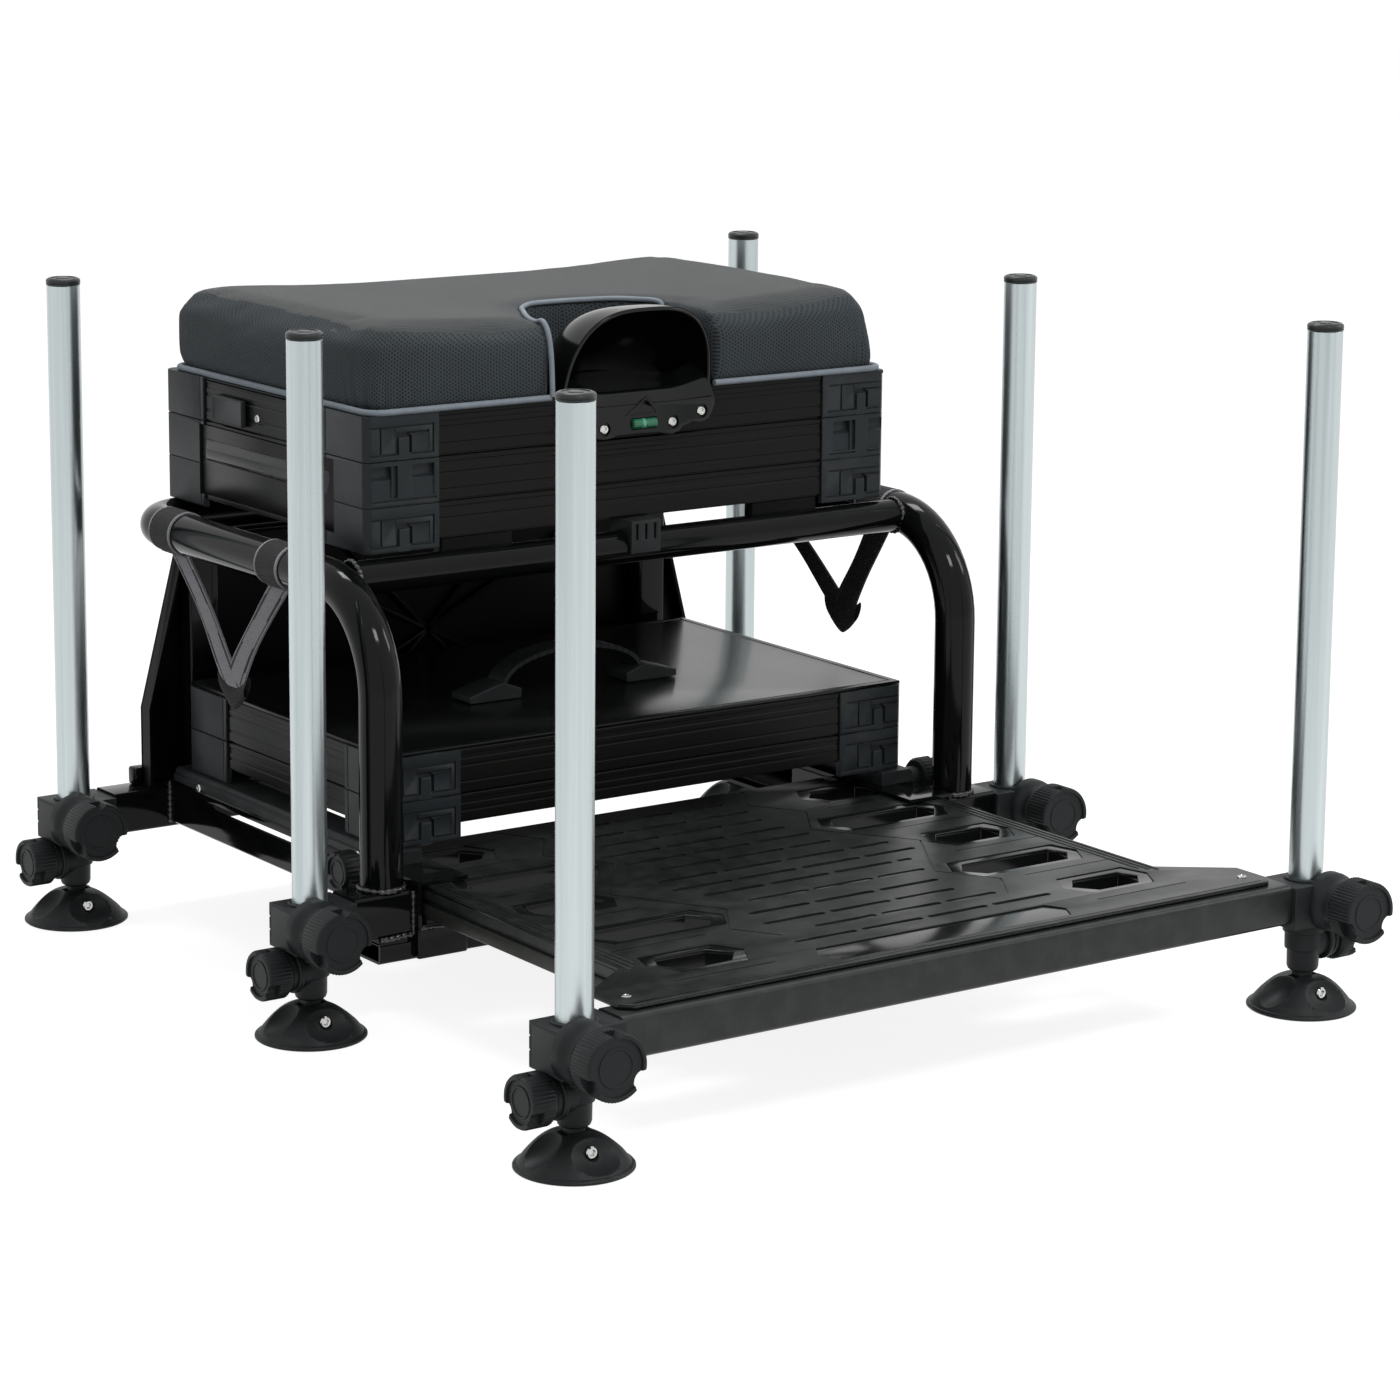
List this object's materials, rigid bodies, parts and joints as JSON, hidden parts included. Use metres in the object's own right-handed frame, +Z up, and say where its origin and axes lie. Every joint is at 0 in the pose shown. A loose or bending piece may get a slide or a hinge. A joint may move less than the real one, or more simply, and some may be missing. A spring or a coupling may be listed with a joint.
{
  "type": "fishing seat box",
  "caption": "Padded fishing seat box on adjustable clamped legs, with a slide-out footplate, side drawer and tray case.",
  "frame": {"origin": "on the ground, midway between left and right, in line with the two main front legs", "axes": "+Z up, +Y to the rear, +X to the right seen from the footplate end"},
  "size_m": [0.7146, 0.7989, 0.499],
  "materials": {
    "leg_aluminium": "satin drawn aluminium",
    "black_nylon": "fine moulded texture",
    "frame_black": "gloss black powder coat on aluminium tube",
    "bar_black": "satin black powder coat on aluminium bar",
    "tray_black": "black anodised extrusion with fine grooves",
    "lid_black": "satin black sheet",
    "moulded_black": "satin moulded plastic",
    "seat_fabric": "ribbed woven cover with grey piping",
    "gloss_black": "gloss moulded plastic",
    "vial_green": "clear tube of green fluid",
    "webbing_grey": "grey webbing with dark lines",
    "webbing_black": "black webbing",
    "steel": "polished stainless"
  },
  "bodies": {
    "frame": {"base_frame": "frame_black", "top_frame": "frame_black", "front_cross_tube": "frame_black", "seat_clip": "black_nylon", "rear_panel": "moulded_black", "deep_tray": "tray_black", "lid_hinge_pin": "steel", "left_strap": "webbing_grey", "right_strap": "webbing_black", "rear_left_leg_block": "black_nylon", "rear_right_leg_block": "black_nylon", "front_left_leg_block": "black_nylon", "front_right_leg_block": "black_nylon"},
    "footplate": {"footplate_frame": "bar_black", "footplate_deck": "moulded_black", "plate_left_leg_block": "black_nylon", "plate_right_leg_block": "black_nylon"},
    "seat": {"seat_base": "tray_black", "cushion": "seat_fabric", "pole_hood": "gloss_black", "spirit_level": "vial_green"},
    "drawer": {"side_drawer": "tray_black"},
    "tray_case": {"lower_tray": "tray_black", "upper_tray": "tray_black"},
    "case_lid": {"case_lid": "lid_black", "carry_handle": "black_nylon"},
    "catch": {"lid_catch": "black_nylon"},
    "left_slide_lock": {"left_slide_lock_knob": "black_nylon"},
    "right_slide_lock": {"right_slide_lock_knob": "black_nylon"},
    "rear_left_leg": {"rear_left_leg_tube": "leg_aluminium", "rear_left_foot_clamp": "black_nylon"},
    "rear_left_clamp": {"rear_left_clamp_knob": "black_nylon"},
    "rear_left_foot_lock": {"rear_left_foot_lock_knob": "black_nylon"},
    "rear_left_foot": {"rear_left_mud_foot": "black_nylon"},
    "rear_right_leg": {"rear_right_leg_tube": "leg_aluminium", "rear_right_foot_clamp": "black_nylon"},
    "rear_right_clamp": {"rear_right_clamp_knob": "black_nylon"},
    "rear_right_foot_lock": {"rear_right_foot_lock_knob": "black_nylon"},
    "rear_right_foot": {"rear_right_mud_foot": "black_nylon"},
    "front_left_leg": {"front_left_leg_tube": "leg_aluminium", "front_left_foot_clamp": "black_nylon"},
    "front_left_clamp": {"front_left_clamp_knob": "black_nylon"},
    "front_left_foot_lock": {"front_left_foot_lock_knob": "black_nylon"},
    "front_left_foot": {"front_left_mud_foot": "black_nylon"},
    "front_right_leg": {"front_right_leg_tube": "leg_aluminium", "front_right_foot_clamp": "black_nylon"},
    "front_right_clamp": {"front_right_clamp_knob": "black_nylon"},
    "front_right_foot_lock": {"front_right_foot_lock_knob": "black_nylon"},
    "front_right_foot": {"front_right_mud_foot": "black_nylon"},
    "plate_left_leg": {"plate_left_leg_tube": "leg_aluminium", "plate_left_foot_clamp": "black_nylon"},
    "plate_left_clamp": {"plate_left_clamp_knob": "black_nylon"},
    "plate_left_foot_lock": {"plate_left_foot_lock_knob": "black_nylon"},
    "plate_left_foot": {"plate_left_mud_foot": "black_nylon"},
    "plate_right_leg": {"plate_right_leg_tube": "leg_aluminium", "plate_right_foot_clamp": "black_nylon"},
    "plate_right_clamp": {"plate_right_clamp_knob": "black_nylon"},
    "plate_right_foot_lock": {"plate_right_foot_lock_knob": "black_nylon"},
    "plate_right_foot": {"plate_right_mud_foot": "black_nylon"}
  },
  "joints": [
    {"name": "footplate_slide", "type": "slide", "parent": "frame", "child": "footplate", "axis": [0, 1, 0], "range_m": [0, 0.2]},
    {"name": "seat_hinge", "type": "hinge", "parent": "frame", "child": "seat", "pos_m": [0, 0.3655, 0.391], "axis": [-1, 0, 0], "range_deg": [0, 95]},
    {"name": "drawer_slide", "type": "slide", "parent": "frame", "child": "drawer", "axis": [-1, 0, 0], "range_m": [0, 0.24]},
    {"name": "tray_case_slide", "type": "slide", "parent": "frame", "child": "tray_case", "axis": [0, -1, 0], "range_m": [0, 0.28]},
    {"name": "case_lid_hinge", "type": "hinge", "parent": "tray_case", "child": "case_lid", "pos_m": [0, 0.33, 0.1815], "axis": [-1, 0, 0], "range_deg": [0, 20]},
    {"name": "catch_slide", "type": "slide", "parent": "seat", "child": "catch", "axis": [0, 1, 0], "range_m": [0, 0.01]},
    {"name": "rear_left_leg_slide", "type": "slide", "parent": "frame", "child": "rear_left_leg", "axis": [0, 0, 1], "range_m": [-0.3, 0]},
    {"name": "rear_right_leg_slide", "type": "slide", "parent": "frame", "child": "rear_right_leg", "axis": [0, 0, 1], "range_m": [-0.3, 0]},
    {"name": "front_left_leg_slide", "type": "slide", "parent": "frame", "child": "front_left_leg", "axis": [0, 0, 1], "range_m": [-0.3, 0]},
    {"name": "front_right_leg_slide", "type": "slide", "parent": "frame", "child": "front_right_leg", "axis": [0, 0, 1], "range_m": [-0.3, 0]},
    {"name": "plate_left_leg_slide", "type": "slide", "parent": "footplate", "child": "plate_left_leg", "axis": [0, 0, 1], "range_m": [-0.3, 0]},
    {"name": "plate_right_leg_slide", "type": "slide", "parent": "footplate", "child": "plate_right_leg", "axis": [0, 0, 1], "range_m": [-0.3, 0]},
    {"name": "rear_left_foot_tilt", "type": "hinge", "parent": "rear_left_leg", "child": "rear_left_foot", "pos_m": [-0.315, 0.364, 0.012], "axis": [0, 1, 0], "range_deg": [-12, 12]},
    {"name": "rear_right_foot_tilt", "type": "hinge", "parent": "rear_right_leg", "child": "rear_right_foot", "pos_m": [0.315, 0.364, 0.012], "axis": [0, 1, 0], "range_deg": [-12, 12]},
    {"name": "front_left_foot_tilt", "type": "hinge", "parent": "front_left_leg", "child": "front_left_foot", "pos_m": [-0.315, 0, 0.012], "axis": [0, 1, 0], "range_deg": [-12, 12]},
    {"name": "front_right_foot_tilt", "type": "hinge", "parent": "front_right_leg", "child": "front_right_foot", "pos_m": [0.315, 0, 0.012], "axis": [0, 1, 0], "range_deg": [-12, 12]},
    {"name": "plate_left_foot_tilt", "type": "hinge", "parent": "plate_left_leg", "child": "plate_left_foot", "pos_m": [-0.315, -0.335, 0.012], "axis": [0, 1, 0], "range_deg": [-12, 12]},
    {"name": "plate_right_foot_tilt", "type": "hinge", "parent": "plate_right_leg", "child": "plate_right_foot", "pos_m": [0.315, -0.335, 0.012], "axis": [0, 1, 0], "range_deg": [-12, 12]},
    {"name": "rear_left_clamp_turn", "type": "hinge", "parent": "frame", "child": "rear_left_clamp", "pos_m": [-0.322, 0.3267, 0.082], "axis": [0, -1, 0], "range_deg": [0, 360]},
    {"name": "rear_right_clamp_turn", "type": "hinge", "parent": "frame", "child": "rear_right_clamp", "pos_m": [0.322, 0.3267, 0.082], "axis": [0, -1, 0], "range_deg": [0, 360]},
    {"name": "front_left_clamp_turn", "type": "hinge", "parent": "frame", "child": "front_left_clamp", "pos_m": [-0.322, -0.0373, 0.082], "axis": [0, -1, 0], "range_deg": [0, 360]},
    {"name": "front_right_clamp_turn", "type": "hinge", "parent": "frame", "child": "front_right_clamp", "pos_m": [0.322, -0.0373, 0.082], "axis": [0, -1, 0], "range_deg": [0, 360]},
    {"name": "plate_left_clamp_turn", "type": "hinge", "parent": "footplate", "child": "plate_left_clamp", "pos_m": [-0.322, -0.3723, 0.082], "axis": [0, -1, 0], "range_deg": [0, 360]},
    {"name": "plate_right_clamp_turn", "type": "hinge", "parent": "footplate", "child": "plate_right_clamp", "pos_m": [0.322, -0.3723, 0.082], "axis": [0, -1, 0], "range_deg": [0, 360]},
    {"name": "rear_left_foot_lock_turn", "type": "hinge", "parent": "rear_left_leg", "child": "rear_left_foot_lock", "pos_m": [-0.3373, 0.364, 0.05], "axis": [-1, 0, 0], "range_deg": [0, 360]},
    {"name": "rear_right_foot_lock_turn", "type": "hinge", "parent": "rear_right_leg", "child": "rear_right_foot_lock", "pos_m": [0.3373, 0.364, 0.05], "axis": [1, 0, 0], "range_deg": [0, 360]},
    {"name": "front_left_foot_lock_turn", "type": "hinge", "parent": "front_left_leg", "child": "front_left_foot_lock", "pos_m": [-0.3373, 0, 0.05], "axis": [-1, 0, 0], "range_deg": [0, 360]},
    {"name": "front_right_foot_lock_turn", "type": "hinge", "parent": "front_right_leg", "child": "front_right_foot_lock", "pos_m": [0.3373, 0, 0.05], "axis": [1, 0, 0], "range_deg": [0, 360]},
    {"name": "plate_left_foot_lock_turn", "type": "hinge", "parent": "plate_left_leg", "child": "plate_left_foot_lock", "pos_m": [-0.3373, -0.335, 0.05], "axis": [-1, 0, 0], "range_deg": [0, 360]},
    {"name": "plate_right_foot_lock_turn", "type": "hinge", "parent": "plate_right_leg", "child": "plate_right_foot_lock", "pos_m": [0.3373, -0.335, 0.05], "axis": [1, 0, 0], "range_deg": [0, 360]},
    {"name": "left_slide_lock_turn", "type": "hinge", "parent": "frame", "child": "left_slide_lock", "pos_m": [-0.2403, 0.042, 0.102], "axis": [-1, 0, 0], "range_deg": [0, 360]},
    {"name": "right_slide_lock_turn", "type": "hinge", "parent": "frame", "child": "right_slide_lock", "pos_m": [0.2403, 0.042, 0.102], "axis": [1, 0, 0], "range_deg": [0, 360]}
  ]
}
